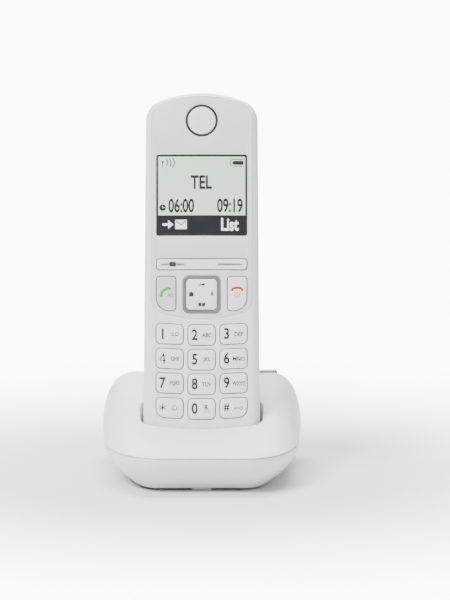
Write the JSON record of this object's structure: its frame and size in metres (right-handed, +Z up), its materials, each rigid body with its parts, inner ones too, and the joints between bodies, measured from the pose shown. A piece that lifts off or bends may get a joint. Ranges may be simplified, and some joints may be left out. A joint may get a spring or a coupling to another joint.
{
  "type": "cordless phone with base",
  "caption": "Cordless telephone handset with display and number keys, standing at a slant in the cradle of a low rounded charging base.",
  "frame": {"origin": "centre of the whole phone's footprint, on the desk under its feet", "axes": "+X to the right seen from the front, +Y to the back, +Z up"},
  "size_m": [0.086, 0.097, 0.162],
  "materials": {
    "white_plastic": "fine satin moulded plastic",
    "pearl_plastic": "glossy pearl white",
    "key_plastic": "white key caps",
    "grey_plastic": "satin grey",
    "black_plastic": "black moulded plastic",
    "rubber": "grey foot rubber",
    "silicone": "grey silicone mat",
    "window": "printed display window",
    "lcd": "liquid crystal panel",
    "film": "clear blue film",
    "circuit": "green circuit board",
    "tin": "tinned steel",
    "gold": "gold plate",
    "steel": "screw steel",
    "cell_wrap": "battery sleeve"
  },
  "bodies": {
    "base": {"base_top_shell": "white_plastic", "base_bottom_shell": "white_plastic", "front_foot": "rubber", "rear_feet": "rubber", "base_screws": "steel", "base_board": "circuit", "base_shield_can": "tin", "base_antenna": "gold", "base_capacitor": "black_plastic", "line_jack": "black_plastic", "line_jack_contacts": "gold", "power_jack": "black_plastic", "paging_switch": "black_plastic", "contact_carrier": "black_plastic", "contact_springs": "tin"},
    "handset": {"handset_front_shell": "white_plastic", "handset_rear_shell": "white_plastic", "front_fascia": "pearl_plastic", "earpiece_ring": "black_plastic", "earpiece_cap": "key_plastic", "earpiece_gasket": "silicone", "earpiece_speaker": "black_plastic", "display_window": "window", "lcd_panel": "lcd", "lcd_backlight": "key_plastic", "nav_bezel": "grey_plastic", "keypad_mat": "silicone", "dome_sheet": "film", "handset_board": "circuit", "handset_shield_can": "tin", "handset_antenna": "gold", "microphone": "black_plastic", "ringer_speaker": "black_plastic", "battery_cell_left": "cell_wrap", "battery_cell_right": "cell_wrap", "battery_springs": "tin", "battery_plates": "tin", "charge_pads": "gold", "handset_screws": "steel"},
    "paging_key": {"paging_key": "white_plastic"},
    "charge_contact_left": {"charge_contact_left": "gold"},
    "charge_contact_right": {"charge_contact_right": "gold"},
    "softkey_bar": {"softkey_bar": "key_plastic"},
    "talk_key": {"talk_key": "key_plastic"},
    "end_key": {"end_key": "key_plastic"},
    "nav_rocker": {"nav_rocker": "grey_plastic"},
    "nav_key": {"nav_key": "key_plastic"},
    "battery_door": {"battery_door": "white_plastic"},
    "key_1": {"key_1": "key_plastic"},
    "key_2": {"key_2": "key_plastic"},
    "key_3": {"key_3": "key_plastic"},
    "key_4": {"key_4": "key_plastic"},
    "key_5": {"key_5": "key_plastic"},
    "key_6": {"key_6": "key_plastic"},
    "key_7": {"key_7": "key_plastic"},
    "key_8": {"key_8": "key_plastic"},
    "key_9": {"key_9": "key_plastic"},
    "key_star": {"key_star": "key_plastic"},
    "key_0": {"key_0": "key_plastic"},
    "key_hash": {"key_hash": "key_plastic"}
  },
  "joints": [
    {"name": "handset_lift", "type": "slide", "parent": "base", "child": "handset", "axis": [0, 0.2756, 0.9613], "range_m": [0, 0.06]},
    {"name": "paging_press", "type": "slide", "parent": "base", "child": "paging_key", "axis": [0, 0, -1], "range_m": [0, 0.0006], "stiffness_N_per_m": 300},
    {"name": "contact_left_sink", "type": "slide", "parent": "base", "child": "charge_contact_left", "axis": [0, -0.2756, -0.9613], "range_m": [0, 0.0006], "stiffness_N_per_m": 200},
    {"name": "contact_right_sink", "type": "slide", "parent": "base", "child": "charge_contact_right", "axis": [0, -0.2756, -0.9613], "range_m": [0, 0.0006], "stiffness_N_per_m": 200},
    {"name": "talk_press", "type": "slide", "parent": "handset", "child": "talk_key", "axis": [0, 0.9613, -0.2756], "range_m": [0, 0.00045], "stiffness_N_per_m": 200},
    {"name": "end_press", "type": "slide", "parent": "handset", "child": "end_key", "axis": [0, 0.9613, -0.2756], "range_m": [0, 0.00045], "stiffness_N_per_m": 200},
    {"name": "softkey_rock", "type": "hinge", "parent": "handset", "child": "softkey_bar", "pos_m": [0, 0.00577, 0.09021], "axis": [0, 0.2756, 0.9613], "range_deg": [-1.2, 1.2], "stiffness_Nm_per_rad": 0.05},
    {"name": "nav_tip_up_down", "type": "hinge", "parent": "handset", "child": "nav_rocker", "pos_m": [0, 0.00218, 0.07766], "axis": [1, 0, 0], "range_deg": [-2.5, 2.5], "stiffness_Nm_per_rad": 0.03},
    {"name": "nav_tip_left_right", "type": "hinge", "parent": "nav_rocker", "child": "nav_key", "pos_m": [0, 0.00218, 0.07766], "axis": [0, 0.2756, 0.9613], "range_deg": [-2.5, 2.5], "stiffness_Nm_per_rad": 0.03},
    {"name": "key_1_press", "type": "slide", "parent": "handset", "child": "key_1", "axis": [0, 0.9613, -0.2756], "range_m": [0, 0.00045], "stiffness_N_per_m": 200},
    {"name": "key_2_press", "type": "slide", "parent": "handset", "child": "key_2", "axis": [0, 0.9613, -0.2756], "range_m": [0, 0.00045], "stiffness_N_per_m": 200},
    {"name": "key_3_press", "type": "slide", "parent": "handset", "child": "key_3", "axis": [0, 0.9613, -0.2756], "range_m": [0, 0.00045], "stiffness_N_per_m": 200},
    {"name": "key_4_press", "type": "slide", "parent": "handset", "child": "key_4", "axis": [0, 0.9613, -0.2756], "range_m": [0, 0.00045], "stiffness_N_per_m": 200},
    {"name": "key_5_press", "type": "slide", "parent": "handset", "child": "key_5", "axis": [0, 0.9613, -0.2756], "range_m": [0, 0.00045], "stiffness_N_per_m": 200},
    {"name": "key_6_press", "type": "slide", "parent": "handset", "child": "key_6", "axis": [0, 0.9613, -0.2756], "range_m": [0, 0.00045], "stiffness_N_per_m": 200},
    {"name": "key_7_press", "type": "slide", "parent": "handset", "child": "key_7", "axis": [0, 0.9613, -0.2756], "range_m": [0, 0.00045], "stiffness_N_per_m": 200},
    {"name": "key_8_press", "type": "slide", "parent": "handset", "child": "key_8", "axis": [0, 0.9613, -0.2756], "range_m": [0, 0.00045], "stiffness_N_per_m": 200},
    {"name": "key_9_press", "type": "slide", "parent": "handset", "child": "key_9", "axis": [0, 0.9613, -0.2756], "range_m": [0, 0.00045], "stiffness_N_per_m": 200},
    {"name": "key_star_press", "type": "slide", "parent": "handset", "child": "key_star", "axis": [0, 0.9613, -0.2756], "range_m": [0, 0.00045], "stiffness_N_per_m": 200},
    {"name": "key_0_press", "type": "slide", "parent": "handset", "child": "key_0", "axis": [0, 0.9613, -0.2756], "range_m": [0, 0.00045], "stiffness_N_per_m": 200},
    {"name": "key_hash_press", "type": "slide", "parent": "handset", "child": "key_hash", "axis": [0, 0.9613, -0.2756], "range_m": [0, 0.00045], "stiffness_N_per_m": 200},
    {"name": "battery_door_off", "type": "slide", "parent": "handset", "child": "battery_door", "axis": [0, 0.9613, -0.2756], "range_m": [0, 0.03]}
  ]
}
